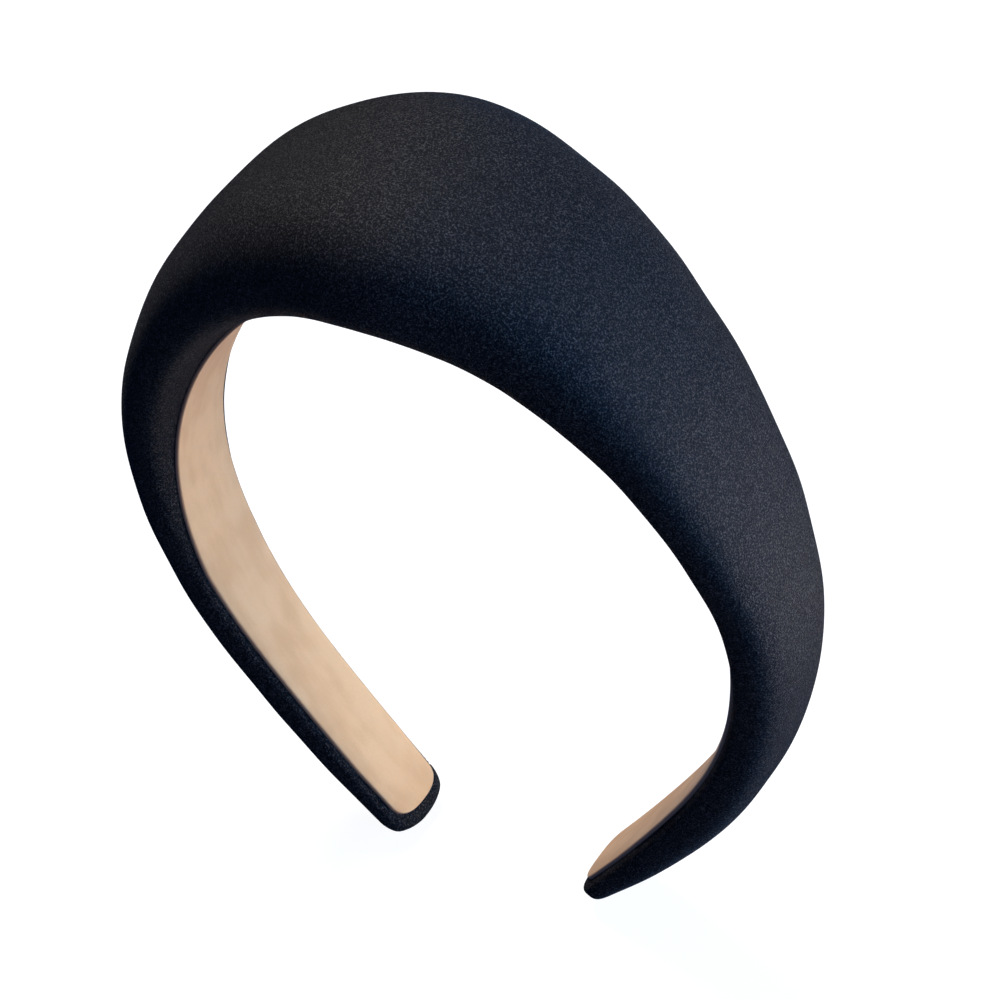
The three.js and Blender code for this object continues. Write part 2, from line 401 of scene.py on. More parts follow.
def settle(piece: bpy.types.Object) -> None:
    """Applies a piece's modifiers, removes them and shades it smooth between sharp edges."""
    graph = bpy.context.evaluated_depsgraph_get()
    made = bpy.data.meshes.new_from_object(
        piece.evaluated_get(graph), preserve_all_data_layers=True, depsgraph=graph
    )
    piece.modifiers.clear()
    spare = piece.data
    piece.data = made
    bpy.data.meshes.remove(spare)
    made.name = piece.name
    made.polygons.foreach_set("use_smooth", np.ones(len(made.polygons), bool))
    made.set_sharp_from_angle(angle=SHARP_ANGLE)


def soft_noise(points: np.ndarray, size: float, seed: int, waves: int = 14) -> np.ndarray:
    """A smooth unevenness that is the same on both sides of a seam.

    Args:
        points: Places, with a last axis of three.
        size: Rough size of a bump.
        seed: Which unevenness.
        waves: How many waves are added up.

    Returns:
        Values of about -1 to 1.
    """
    draw = np.random.default_rng(seed)
    direction = draw.normal(size=(waves, 3))
    direction /= np.linalg.norm(direction, axis=1, keepdims=True)
    pitch = 2 * math.pi / size * draw.uniform(0.6, 1.4, waves)
    phase = draw.uniform(0, 2 * math.pi, waves)
    total = np.sin(points @ (direction * pitch[:, None]).T + phase).sum(axis=-1)
    return total / math.sqrt(waves)


# ---- Shader nodes ----


def add_node(
    tree: bpy.types.NodeTree, kind: str, settings: dict[str, Any], sockets: dict[str | int, Any]
) -> bpy.types.Node:
    """Adds one node to a tree.

    Args:
        tree: The node tree.
        kind: The node's type.
        settings: Its properties.
        sockets: Values or output sockets for its inputs.

    Returns:
        The node.
    """
    made = tree.nodes.new(kind)
    for key, setting in settings.items():
        setattr(made, key, setting)
    for key, value in sockets.items():
        if isinstance(value, bpy.types.NodeSocket):
            tree.links.new(value, made.inputs[key])
        else:
            made.inputs[key].default_value = value
    return made


def operator(operation: str, swapped: bool = False) -> Callable[["Value", Any], "Value"]:
    """Makes an arithmetic operator that adds one Math node.

    Args:
        operation: The node's operation.
        swapped: Whether the other value comes first.

    Returns:
        The operator.
    """

    def apply(value: "Value", other: Any) -> "Value":
        """Adds the node."""
        inputs = {0: other, 1: value} if swapped else {0: value, 1: other}
        return value.wiring.node("ShaderNodeMath", {"operation": operation}, inputs)

    return apply


class Value:
    """One output of a shader node, which can be used in sums."""

    def __init__(self, wiring: "Wiring", socket: bpy.types.NodeSocket) -> None:
        """Wraps a socket of the wiring's tree."""
        self.wiring = wiring
        self.socket = socket

    __add__, __radd__ = operator("ADD"), operator("ADD", swapped=True)
    __sub__, __rsub__ = operator("SUBTRACT"), operator("SUBTRACT", swapped=True)
    __mul__, __rmul__ = operator("MULTIPLY"), operator("MULTIPLY", swapped=True)

    def clamped(self) -> "Value":
        """The value held between 0 and 1."""
        return self.wiring.node("ShaderNodeClamp", {}, {"Value": self})

    def step(self, low: float, high: float) -> "Value":
        """A smooth step.

        Args:
            low: Where it is 0.
            high: Where it is 1.

        Returns:
            The stepped value.
        """
        return self.wiring.node(
            "ShaderNodeMapRange",
            {"interpolation_type": "SMOOTHSTEP"},
            {"Value": self, "From Min": low, "From Max": high},
        )


class Wiring:
    """The node tree of one finish."""

    def __init__(self, name: str) -> None:
        """Makes a material with an empty tree and its output."""
        self.material = bpy.data.materials.new(name)
        self.material.use_nodes = True
        self.tree = self.material.node_tree
        self.tree.nodes.clear()

    def node(
        self,
        kind: str,
        settings: dict[str, Any],
        sockets: dict[str | int, Any],
        output: str | int = 0,
    ) -> Value:
        """Adds one node.

        Args:
            kind: The node's type.
            settings: Its properties.
            sockets: Values or links for its inputs.
            output: Which output is wanted.

        Returns:
            That output.
        """
        plain = {k: v.socket if isinstance(v, Value) else v for k, v in sockets.items()}
        return Value(self, add_node(self.tree, kind, settings, plain).outputs[output])

    def coordinates(self) -> Value:
        """The piece's own coordinates, in metres."""
        return self.node("ShaderNodeTexCoord", {}, {}, "Object")

    def cloth(self) -> Value:
        """The place on the flat cloth, in metres."""
        return self.node("ShaderNodeUVMap", {"uv_map": "Cloth"}, {})

    def stretched(self, vector: Value, scale: tuple[float, float, float]) -> Value:
        """A vector scaled along each axis."""
        inputs = {0: vector, 1: scale}
        return self.node("ShaderNodeVectorMath", {"operation": "MULTIPLY"}, inputs)

    def noise(
        self, vector: Value, scale: float, detail: float = 2, roughness: float = 0.5
    ) -> Value:
        """A noise pattern.

        Args:
            vector: Where it is read.
            scale: Bumps in one unit of the vector.
            detail: Finer layers.
            roughness: Strength of the finer layers.

        Returns:
            Values about 0.5.
        """
        sockets = {"Vector": vector, "Scale": scale, "Detail": detail, "Roughness": roughness}
        return self.node("ShaderNodeTexNoise", {}, sockets)

    def cells(self, vector: Value, scale: float) -> Value:
        """A pattern of cells, as the distance to the middle of each."""
        sockets = {"Vector": vector, "Scale": scale}
        return self.node("ShaderNodeTexVoronoi", {}, sockets, "Distance")

    def mix(self, share: Any, first: Any, second: Any) -> Value:
        """Mixes two colours.

        Args:
            share: Share of the second.
            first: A colour.
            second: A colour.

        Returns:
            The mixed colour.
        """
        inputs = {0: share, 6: first, 7: second}
        return self.node("ShaderNodeMix", {"data_type": "RGBA"}, inputs, 2)

    def bump(self, height: Value, strength: float, distance: float, normal: Any = None) -> Value:
        """Raises the surface.

        Args:
            height: Pattern of heights.
            strength: How strongly it shows.
            distance: Height of 1, in metres.
            normal: A normal that is already raised.

        Returns:
            The new normal.
        """
        sockets = {"Height": height, "Strength": strength, "Distance": distance}
        if normal is not None:
            sockets["Normal"] = normal
        return self.node("ShaderNodeBump", {}, sockets)

    def close(self, base: Value, rough: Any, **others: Any) -> bpy.types.Material:
        """Ends the tree in a Principled shader.

        Args:
            base: Its colour.
            rough: Its roughness.
            others: Its other inputs, with a low line for each space in a name.

        Returns:
            The material.
        """
        sockets = {name.replace("_", " "): value for name, value in others.items()}
        sockets |= {"Base Color": base, "Roughness": rough}
        surface = self.node("ShaderNodeBsdfPrincipled", {}, sockets)
        out = self.tree.nodes.new("ShaderNodeOutputMaterial")
        self.tree.links.new(surface.socket, out.inputs["Surface"])
        return self.material


def colour(red: float, green: float, blue: float) -> tuple[float, float, float, float]:
    """A full colour for a socket."""
    return (red, green, blue, 1.0)


@dataclass(frozen=True)
class SatinFinish:
    """Black matte satin with a fine grain, painted glints and a blue-black depth."""

    deep: tuple[float, ...] = colour(0.0020, 0.0034, 0.0072)
    pale: tuple[float, ...] = colour(0.0800, 0.0740, 0.0700)
    # Colour of the painted glints: bright specks painted into the base colour.
    glint: tuple[float, ...] = colour(0.11, 0.11, 0.115)
    grain_size: float = 0.00034
    glint_size: float = 0.00058
    broad_size: float = 0.022
    thread: float = 0.00026

    def material(self) -> bpy.types.Material:
        """Builds the finish."""
        w = Wiring("matte_satin")
        place = w.coordinates()
        grain = w.noise(place, 1 / self.grain_size, 3, 0.65)
        broad = w.noise(place, 1 / self.broad_size)
        # The specks below are painted glints, highlights mixed into the base colour as bright
        # spots.
        speck = w.cells(place, 1 / self.glint_size)
        lucky = w.noise(place, 1 / (self.glint_size * 1.3), 0)
        glint = (1 - speck.step(0.12, 0.34)) * lucky.step(0.56, 0.70)
        shade = w.mix(grain.step(0.47, 0.72), self.deep, self.pale)
        worn = w.mix((broad - 0.35) * 0.3, shade, colour(0.008, 0.008, 0.009))
        base = w.mix(glint * 0.55, worn, self.glint)
        rough = (0.72 - 0.30 * grain.step(0.30, 0.75) - 0.15 * glint).clamped()
        weave = w.node(
            "ShaderNodeTexWave",
            {"wave_type": "BANDS", "bands_direction": "DIAGONAL"},
            {"Vector": w.cloth(), "Scale": 0.31 / self.thread, "Distortion": 0.0},
        )
        raised = w.bump(weave, 0.10, 0.00003)
        raised = w.bump(grain, 0.9, 0.00028, raised)
        sheen = {"Sheen_Weight": 0.05, "Sheen_Roughness": 0.30}
        sheen["Sheen_Tint"] = colour(0.80, 0.86, 1.0)
        return w.close(base, rough, Normal=raised, Specular_IOR_Level=0.14, **sheen)


@dataclass(frozen=True)
class SuedeFinish:
    """Beige napped suede, streaked along the strip; its cut edges are brown with painted shade
    beside the satin.
    """

    pale: tuple[float, ...] = colour(0.87, 0.560, 0.290)
    deep: tuple[float, ...] = colour(0.77, 0.465, 0.230)
    # The cut edges' own brown, made dark enough to paint shade on the rounded edges.
    edge_tint: tuple[float, ...] = colour(0.26, 0.13, 0.08)
    nap_size: float = 0.00030
    streak_size: float = 0.016
    blotch_size: float = 0.011

    def material(self) -> bpy.types.Material:
        """Builds the finish."""
        w = Wiring("napped_suede")
        cloth = w.cloth()
        place = w.coordinates()
        streaks = w.noise(w.stretched(cloth, (1, 4, 1)), 1 / self.streak_size, 3, 0.62)
        blotches = w.noise(place, 1 / self.blotch_size)
        nap = w.noise(w.stretched(cloth, (0.45, 1, 1)), 1 / self.nap_size, 3, 0.7)
        mixed = 0.45 * streaks + 0.55 * blotches
        base = w.mix(mixed.step(0.36, 0.62), self.deep, self.pale)
        fine = w.mix(nap.step(0.25, 0.8) * 0.16, base, colour(0.52, 0.35, 0.23))
        edge = w.node("ShaderNodeAttribute", {"attribute_name": "edge"}, {}, "Fac")
        # The cut edges get their own brown plus painted shade, a dark line where the strip meets
        # the satin.
        edge_tinted_and_shaded = w.mix(edge.step(0.93, 1.0) * 0.95, fine, self.edge_tint)
        raised = w.bump(mixed, 0.25, 0.0003)
        raised = w.bump(nap, 0.5, 0.00010, raised)
        rough = (0.86 + 0.12 * nap).clamped()
        sheen = {"Sheen_Weight": 0.25, "Sheen_Roughness": 0.5}
        sheen["Sheen_Tint"] = colour(1.0, 0.9, 0.8)
        return w.close(edge_tinted_and_shaded, rough, Normal=raised, Specular_IOR_Level=0.15, **sheen)


@dataclass(frozen=True)
class FoamFinish:
    """Moulded open-cell sponge, with painted shade darkening the dimples of its pores."""

    cell: float = 0.0007
    stain: float = 0.03

    def material(self) -> bpy.types.Material:
        """Builds the finish."""
        w = Wiring("moulded_sponge")
        place = w.coordinates()
        cells = w.cells(place, 1 / self.cell)
        aged = w.noise(place, 1 / self.stain)
        base = w.mix(aged, colour(0.84, 0.81, 0.70), colour(0.78, 0.72, 0.56))
        # Darkening the pore dimples in the base colour is painted shade.
        pore_shaded = w.mix((1 - cells.step(0.1, 0.45)) * 0.35, base, colour(0.55, 0.49, 0.36))
        rough = (0.9 + 0.08 * cells).clamped()
        return w.close(pore_shaded, rough, Normal=w.bump(cells, 0.6, 0.0002), Specular_IOR_Level=0.2)


@dataclass(frozen=True)
class HoopFinish:
    """Moulded black plastic with faint flow marks along the hoop."""

    grain: float = 0.0005
    flow_mark: float = 0.004

    def material(self) -> bpy.types.Material:
        """Builds the finish."""
        w = Wiring("moulded_hoop_plastic")
        place = w.coordinates()
        fine = w.noise(place, 1 / self.grain, 3, 0.6)
        flow = w.noise(w.stretched(place, (0.2, 1, 0.2)), 1 / self.flow_mark)
        base = w.mix(flow, colour(0.014, 0.014, 0.016), colour(0.026, 0.026, 0.028))
        rough = (0.28 + 0.2 * flow + 0.08 * fine).clamped()
        return w.close(base, rough, Normal=w.bump(fine, 0.2, 0.00004))


@dataclass(frozen=True)
class TapeFinish:
    """Tissue tape with glue on both faces."""

    fibre: float = 0.0006
    glue_patch: float = 0.005

    def material(self) -> bpy.types.Material:
        """Builds the finish."""
        w = Wiring("glued_tissue_tape")
        place = w.coordinates()
        fibres = w.noise(w.stretched(place, (1, 3, 1)), 1 / self.fibre, 3, 0.6)
        glue = w.noise(place, 1 / self.glue_patch)
        base = w.mix(fibres.step(0.3, 0.7), colour(0.74, 0.70, 0.56), colour(0.84, 0.81, 0.70))
        rough = (0.3 + 0.35 * glue).clamped()
        return w.close(base, rough, Normal=w.bump(fibres, 0.3, 0.00005))


# ---- The layers ----


@dataclass
class Flex:
    """The shoulder between the crown and an arm; its bend step only bakes a piece's transform.

    Args:
        form: The form of the band.
        reach: How far the bend spreads to each side of the shoulder; not used.
        share: Place of the shoulder as a share of the half arc.
    """

    form: BandForm
    reach: float = 0.045
    share: float = 0.3

    def bend(self, piece: bpy.types.Object, half: Half) -> None:
        """Bakes a piece's transform into its mesh; the band's turn at the shoulder is read but not
        used.

        Args:
            piece: The finished piece.
            half: The half it belongs to; not used.
        """
        flex_length = self.share * self.form.half_arc
        turn = float(np.interp(flex_length, self.form.line[0], self.form.line[3]))
        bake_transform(piece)


@dataclass
class Layer:
    """One layer of the band, built as two halves.

    Args:
        form: The form of the band.
        flex: Its shoulders, whose bend step bakes each piece's transform.
        name: The layer's name, as in the frame's nodes.
        slot: The record's material slot; not used.
        finish: The layer's material.
    """

    form: BandForm
    flex: Flex
    name: str
    slot: str
    finish: bpy.types.Material

    def build(self, half: Half) -> bpy.types.Object:
        """Builds one half of the layer."""
        raise NotImplementedError

    def declare(self, piece: bpy.types.Object, half: Half) -> None:
        """Does nothing."""

    def fit(self, half: Half) -> bpy.types.Object:
        """Builds and dresses one half, bakes its transform and hides the frame's parts it stands
        for.

        Args:
            half: Which half.

        Returns:
            The finished piece.
        """
        piece = self.build(half)
        piece.data.materials.clear()
        piece.data.materials.append(self.finish)
        self.flex.bend(piece, half)
        nodes = [f"{half.arm}_{self.name}", f"crown_{self.name}"]
        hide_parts(*(nodes if half is Half.LEFT else nodes[:1]))
        self.declare(piece, half)
        log.info("%s: %d faces", piece.name, len(piece.data.polygons))
        return piece

    def piece_name(self, half: Half) -> str:
        """The name of one half."""
        return f"{half.name.lower()}_{self.name}"

    def tube(
        self, half: Half, s: np.ndarray, y: np.ndarray, points: np.ndarray, edge: np.ndarray
    ) -> bpy.types.Object:
        """Makes a closed piece from its net.

        Args:
            half: Which half.
            s: Lengths of its rows.
            y: Distances across the band.
            points: Its points.
            edge: 0 in the middle and 1 at a cut edge.

        Returns:
            The piece.
        """
        cloth = np.stack([np.broadcast_to(s, y.shape), y], axis=-1)
        piece = mesh_from_net(self.piece_name(half), Net(points, cloth, edge), half, tube=True)
        settle(piece)
        return piece


@dataclass
class SatinCover(Layer):
    """The satin, wrapped over the pad and round both edges to its hems under the lining."""

    columns: int = 144
    row_step: float = 0.0011
    outline_steps: int = 601
    nose_rows: int = 18
    nose_span: float = 0.009
    nose_power: float = 2.4
    calm_length: float = 0.02
    unevenness: float = 0.00012
    bump_size: float = 0.021
    bump_seed: int = 5
    pucker: float = 0.00010
    pucker_size: float = 0.0065
    pucker_seed: int = 9
    pucker_start: float = 0.62
    pucker_ramp: float = 0.25
    pucker_reach: float = 0.1
    flat: tuple[float, float] = (0.128, 0.224)
    flat_share: float = 0.48

    def rows(self) -> np.ndarray:
        """Lengths of the rows: a narrow one beside the middle, then finer ones at the nose."""
        body_end = self.form.half_arc - self.nose_span
        body = np.linspace(0, body_end, round(body_end / self.row_step))
        nose = self.form.half_arc - self.nose_span * np.linspace(1, 0, self.nose_rows)[1:] ** 2
        return np.concatenate([[0, SEAM_RING], body[1:], nose])

    def net(self, half: Half) -> Net:
        """The satin's outer face as a net from hem to hem."""
        form, s = self.form, self.rows()[:, None]
        edge = form.edge_angle(s, form.slot_half(s))
        fine = np.linspace(0, 1, self.outline_steps)
        angles = -edge + (math.pi + 2 * edge) * fine
        y, h = form.section(s, angles, 0.0)
        lengths = np.hypot(np.diff(y, axis=1), np.diff(h, axis=1)).cumsum(axis=1)
        lengths = np.concatenate([np.zeros_like(s), lengths], axis=1)
        share = np.linspace(0, 1, self.columns)
        angle = np.stack(
            [np.interp(share * run[-1], run, row) for run, row in zip(lengths, angles)]
        )
        y, h = form.section(s, angle, 0.0)
        left = form.half_arc - s
        y = y * rounded(left, form.tip_rounding, self.nose_power)
        middle = form.widest_level * form.depth.at(s / form.half_arc)
        h = middle + (h - middle) * rounded(left, form.tip_rounding)
        points = form.place(half, s, y, h)
        girth = (share - 0.5) * lengths[:, -1:]
        cloth = np.stack([np.broadcast_to(s, girth.shape), girth], axis=-1)
        return Net(points, cloth, np.abs(2 * share - 1) + 0 * girth)

    def ease(self, net: Net) -> None:
        """Adds the foam's unevenness and small puckers where the hems turn in.

        Args:
            net: The satin's net, whose points are moved.
        """
        s = self.rows()[:, None]
        left = self.form.half_arc - s
        calm = rounded(left, self.calm_length)
        normals = net.normals()
        normals[0, :, 0] = 0
        normals[1, :, 0] = 0
        size = self.unevenness * soft_noise(net.points, self.bump_size, self.bump_seed)
        inner = np.clip((net.edge - self.pucker_start) / self.pucker_ramp, 0, 1)
        inner = inner * np.clip(1 - s / self.pucker_reach, 0, 1)
        drawn_out = net.points * np.array([1, 0.15, 1])
        folds = soft_noise(drawn_out, self.pucker_size, self.pucker_seed)
        move = (size + self.pucker * folds * inner) * calm
        net.points += normals * move[..., None]

    def build(self, half: Half) -> bpy.types.Object:
        """Builds one half of the cover, with its thickness inwards."""
        net = self.net(half)
        self.ease(net)
        piece = mesh_from_net(self.piece_name(half), net, half, tube=False)
        wall = piece.modifiers.new("wall", "SOLIDIFY")
        wall.thickness = self.form.cover_wall
        wall.offset = -1
        settle(piece)
        return piece

    def declare(self, piece: bpy.types.Object, half: Half) -> None:
        """Does nothing for the satin, a sheet stretched over the foam."""


@dataclass
class SuedeLining(Layer):
    """The suede strip, glued along the inside with rounded corners before the tips."""

    thickness: float = 0.0008
    gap: float = 0.00006
    edge_round: float = 0.00022
    columns: int = 25
    edge_points: int = 7
    row_step: float = 0.0012
    nose_rows: int = 12
    corner_length: float = 0.0042
    corner_power: float = 2.6
    edge_room: float = 0.0012
    widest_round: float = 0.98
    narrowest_share: float = 0.3

    def rows(self) -> np.ndarray:
        """Lengths of the rows, finer at the rounded end."""
        end = self.form.half_arc - self.form.lining_end_inset
        body = np.linspace(0, end - self.corner_length, round(end / self.row_step))
        nose = end - self.corner_length * np.linspace(1, 0, self.nose_rows)[1:] ** 2
        return np.concatenate([[0, SEAM_RING], body[1:], nose])[:, None]

    def outline(self, half_width: np.ndarray) -> tuple[np.ndarray, np.ndarray]:
        """The strip's section with rounded long edges.

        Args:
            half_width: Half the strip's width at each row.

        Returns:
            Distance across the strip, and the share of its thickness towards the satin.
        """
        round_off = np.minimum(self.edge_round, half_width * self.widest_round)
        inner = half_width - round_off
        turn = np.linspace(0, math.pi, self.edge_points)[None, :]
        flat = np.linspace(-1, 1, self.columns)[None, :]
        bulge = np.sin(turn) * round_off
        sides = [flat * inner, inner + bulge, -flat * inner, -inner - bulge, -inner]
        rise, fall = (1 - np.cos(turn)) / 2, (1 + np.cos(turn)) / 2
        shares = [0 * flat, rise, 0 * flat + 1, fall, np.zeros((1, 1))]
        return np.concatenate(sides, axis=1), np.concatenate(shares, axis=1)

    def build(self, half: Half) -> bpy.types.Object:
        """Builds one half of the strip on the curve of the satin's inner face."""
        form, s = self.form, self.rows()
        left = form.half_arc - form.lining_end_inset - s
        half_width = form.lining_width.at(s / form.half_arc) / 2
        half_width = np.minimum(half_width, form.half_width(s) - self.edge_room)
        half_width = half_width * rounded(left, self.corner_length, self.corner_power)
        y, lift = self.outline(half_width)
        _, skin = form.section(s, -form.edge_angle(s, np.abs(y)), 0.0)
        level = skin - self.gap - self.thickness * (1 - lift)
        edge = np.abs(y) / np.maximum(half_width, self.narrowest_share * half_width.max())
        return self.tube(half, s, y, form.place(half, s, y, level), edge)

    def declare(self, piece: bpy.types.Object, half: Half) -> None:
        """Does nothing for the lining, a strip laid on the hems."""


@dataclass
class FoamPad(Layer):
    """The moulded sponge between the hoop and the satin."""

    base_columns: int = 17
    dome_columns: int = 61
    row_step: float = 0.002
    unevenness: float = 0.00008
    bump_size: float = 0.016
    bump_seed: int = 12
    calm_width: float = 0.01

    def base_angle(self, s: np.ndarray, inset: float) -> np.ndarray:
        """The direction from the section's middle to the edge of the flat base."""
        form, share = self.form, s / self.form.half_arc
        depth = form.depth.at(share)
        middle = form.widest_level * depth
        height = np.where(form.pad_bottom >= middle, depth - middle, middle) - inset
        part = (form.pad_bottom - middle) / height
        power = np.where(part >= 0, form.outer_squareness, form.inner_squareness.at(share))
        return np.arctan2(part, (1 - np.abs(part) ** power) ** (1 / power))

    def build(self, half: Half) -> bpy.types.Object:
        """Builds one half of the pad as a closed body with a flat base."""
        form = self.form
        end = form.half_arc - form.pad_end_inset
        body = np.linspace(0, end, round(end / self.row_step))
        s = np.concatenate([[0, SEAM_RING], body[1:]])[:, None]
        inset = form.cover_wall + form.pad_clearance
        start = self.base_angle(s, inset)
        dome = start + (math.pi - 2 * start) * np.linspace(0, 1, self.dome_columns)
        y_dome, h_dome = form.section(s, dome, inset)
        flat = np.linspace(-1, 1, self.base_columns)[1:]
        y = np.concatenate([y_dome, flat * y_dome[:, :1]], axis=1)
        h = np.concatenate([h_dome, h_dome[:, :1] + 0 * flat], axis=1)
        top = self.dome_columns // 2
        y, h = (np.concatenate([v[:, top:-1], v[:, : top + 1]], axis=1) for v in (y, h))
        points = form.place(half, s, y, h)
        uneven = soft_noise(points, self.bump_size, self.bump_seed) * self.unevenness
        points[..., 1] += uneven * np.sign(y) * np.minimum(np.abs(y) / self.calm_width, 1)
        return self.tube(half, s, y, points, 0 * y)

    def declare(self, piece: bpy.types.Object, half: Half) -> None:
        """Does nothing for the foam, a firm moulded pad."""


class StripTree:
    """Geometry nodes that sweep a flat strip and bend it along the band's line."""

    def __init__(self) -> None:
        """Builds the tree with its named inputs."""
        self.tree = bpy.data.node_groups.new("strip_along_the_band", "GeometryNodeTree")
        face = self.tree.interface
        face.new_socket(name="Geometry", in_out="OUTPUT", socket_type="NodeSocketGeometry")
        sizes = ("Length", "Level", "Thickness", "Edge Radius", "Middle Half Width", "Side")
        kinds = {"Geometry": "Geometry", **dict.fromkeys(sizes, "Float")}
        kinds |= {"Steps": "Int", "Material": "Material"}
        self.inputs = {
            name: face.new_socket(name=name, in_out="INPUT", socket_type=f"NodeSocket{kind}")
            for name, kind in kinds.items()
        }
        self.start = self.tree.nodes.new("NodeGroupInput")
        self.build()

    def first(self, kind: str, sockets: dict[str | int, Any], **settings: Any) -> Any:
        """The first output of a new node."""
        return add_node(self.tree, kind, settings, sockets).outputs[0]

    def sum(self, operation: str, one: Any, other: Any) -> Any:
        """One Math node on numbers or sockets."""
        return self.first("ShaderNodeMath", {0: one, 1: other}, operation=operation)

    def vector(self, operation: str, sockets: dict[str | int, Any]) -> Any:
        """One Vector Math node."""
        return self.first("ShaderNodeVectorMath", sockets, operation=operation)

    def blank(self) -> Any:
        """The straight strip, one long along X, with its long edges rounded."""
        given = self.start.outputs
        line = self.first("GeometryNodeCurvePrimitiveLine", {"Start": (0, 0, 0), "End": (1, 0, 0)})
        stepped = self.first("GeometryNodeResampleCurve", {"Curve": line, "Count": given["Steps"]})
        wide = self.sum("MULTIPLY", given["Middle Half Width"], 2.0)
        sides = {"Width": wide, "Height": given["Thickness"]}
        outline = self.first("GeometryNodeCurvePrimitiveQuadrilateral", sides)
        corner = {"Curve": outline, "Count": 3, "Radius": given["Edge Radius"]}
        corner["Limit Radius"] = True
        eased = self.first("GeometryNodeFilletCurve", corner, mode="POLY")
        swept = {"Curve": stepped, "Profile Curve": eased, "Fill Caps": True}
        return self.first("GeometryNodeCurveToMesh", swept)

    def build(self) -> None:
        """Adds the nodes that bend the straight strip along the guide."""
        given = self.start.outputs
        guide = self.first("GeometryNodeMeshToCurve", {"Mesh": given["Geometry"]})
        blank = self.blank()
        where = self.first("GeometryNodeInputPosition", {})
        parts = add_node(self.tree, "ShaderNodeSeparateXYZ", {}, {0: where}).outputs
        held = self.first(
            "GeometryNodeInputNamedAttribute", {"Name": "half_width"}, data_type="FLOAT"
        )
        along = self.sum("MULTIPLY", parts["X"], given["Length"])
        guided = add_node(
            self.tree,
            "GeometryNodeSampleCurve",
            {"mode": "LENGTH", "data_type": "FLOAT", "use_all_curves": True},
            {"Curves": guide, "Value": held, "Length": along},
        ).outputs
        wider = self.sum("MULTIPLY", parts["Y"], guided["Value"])
        widened = self.sum("DIVIDE", wider, given["Middle Half Width"])
        outward = self.vector("CROSS_PRODUCT", {0: guided["Tangent"], 1: (0, 1, 0)})
        half_thick = self.sum("MULTIPLY", given["Thickness"], 0.5)
        level = self.sum("ADD", self.sum("ADD", parts["Z"], half_thick), given["Level"])
        lift = self.sum("MULTIPLY", level, given["Side"])
        raised = self.vector("SCALE", {0: outward, "Scale": lift})
        across = self.first("ShaderNodeCombineXYZ", {"Y": widened})
        base = self.vector("ADD", {0: guided["Position"], 1: across})
        place = self.vector("ADD", {0: base, 1: raised})
        bent = self.first("GeometryNodeSetPosition", {"Geometry": blank, "Position": place})
        real = self.first("GeometryNodeRealizeInstances", {"Geometry": bent})
        dress = {"Geometry": real, "Material": given["Material"]}
        dressed = self.first("GeometryNodeSetMaterial", dress)
        end = self.tree.nodes.new("NodeGroupOutput")
        self.tree.links.new(dressed, end.inputs[0])

    def strip(
        self, name: str, guide: np.ndarray, half_width: np.ndarray, sizes: dict[str, Any]
    ) -> bpy.types.Object:
        """Makes one strip.

        Args:
            name: The object's name.
            guide: Points of the line that it follows.
            half_width: Half the strip's width at each of them.
            sizes: Values for the tree's named inputs.

        Returns:
            The strip as a plain mesh object.
        """
        line = bpy.data.meshes.new(name)
        edges = [(i, i + 1) for i in range(len(guide) - 1)]
        line.from_pydata(guide.tolist(), edges, [])
        width = line.attributes.new("half_width", "FLOAT", "POINT")
        width.data.foreach_set("value", half_width.astype(np.float32))
        piece = add_object(name, line)
        nodes = piece.modifiers.new("strip", "NODES")
        nodes.node_group = self.tree
        for key, value in sizes.items():
            nodes[self.inputs[key].identifier] = value
        settle(piece)
        work = bmesh.new()
        work.from_mesh(piece.data)
        turn_outwards(work)
        work.to_mesh(piece.data)
        work.free()
        return piece


@dataclass
class Strip(Layer):
    """A flat strip of even thickness that follows the band: the hoop or a tape.

    Args:
        strips: The geometry nodes that make it.
        level: Height of its inner face.
        thickness: Its thickness.
        end_inset: How far it stops before the tip.
        half_width: Half its width at a length along the band.
        edge_radius: Rounding of its long edges.
        round_end: Length of its rounded end.
        steps: Steps along its length.
        end_share: Share of the width that is left at the very end.
    """

    strips: StripTree
    level: float
    thickness: float
    end_inset: float
    half_width: Callable[[np.ndarray], np.ndarray]
    edge_radius: float
    round_end: float
    steps: int = 190
    end_share: float = 0.3

    def build(self, half: Half) -> bpy.types.Object:
        """Sweeps one half of the strip."""
        form = self.form
        end = form.half_arc - self.end_inset
        s = np.linspace(0, end, 2 * self.steps)
        narrowing = self.end_share + (1 - self.end_share) * rounded(end - s, self.round_end)
        guide = form.place(half, s, np.zeros_like(s), np.zeros_like(s))
        return self.strips.strip(
            self.piece_name(half),
            guide,
            self.half_width(s) * narrowing,
            {
                "Length": float(np.linalg.norm(np.diff(guide, axis=0), axis=1).sum()),
                "Level": self.level,
                "Thickness": self.thickness,
                "Edge Radius": self.edge_radius,
                "Middle Half Width": float(self.half_width(s[:1])[0]),
                "Side": float(half.value),
                "Steps": self.steps,
                "Material": self.finish,
            },
        )


# ---- The studio ----


@dataclass
class Lamp:
    """A soft lamp.

    Args:
        name: Its name.
        direction: Azimuth and elevation of the side that it shines from, in degrees.
        distance: How far it stands from the object.
        size: Its width.
        power: Its power in watts.
        tint: Its colour.
        glossy: Whether it is seen in reflections.
    """

    name: str
    direction: tuple[float, float]
    distance: float
    size: float
    power: float
    tint: tuple[float, float, float]
    glossy: bool = True

    def hang(self, target: Vector) -> None:
        """Puts the lamp in place, turned to the target."""
        data = bpy.data.lights.new(self.name, "AREA")
        data.shape = "DISK"
        data.size = self.size
        data.energy = self.power
        data.color = self.tint
        lamp = add_object(self.name, data)
        back = bearing(*self.direction)
        lamp.location = target + self.distance * back
        lamp.rotation_euler = back.to_track_quat("Z", "Y").to_euler()
        lamp.visible_glossy = self.glossy
        lamp.visible_camera = False


def bearing(azimuth: float, elevation: float) -> Vector:
    """The direction towards a viewer at an azimuth and elevation in degrees."""
    a, e = math.radians(azimuth), math.radians(elevation)
    return Vector((math.sin(a) * math.cos(e), -math.cos(a) * math.cos(e), math.sin(e)))


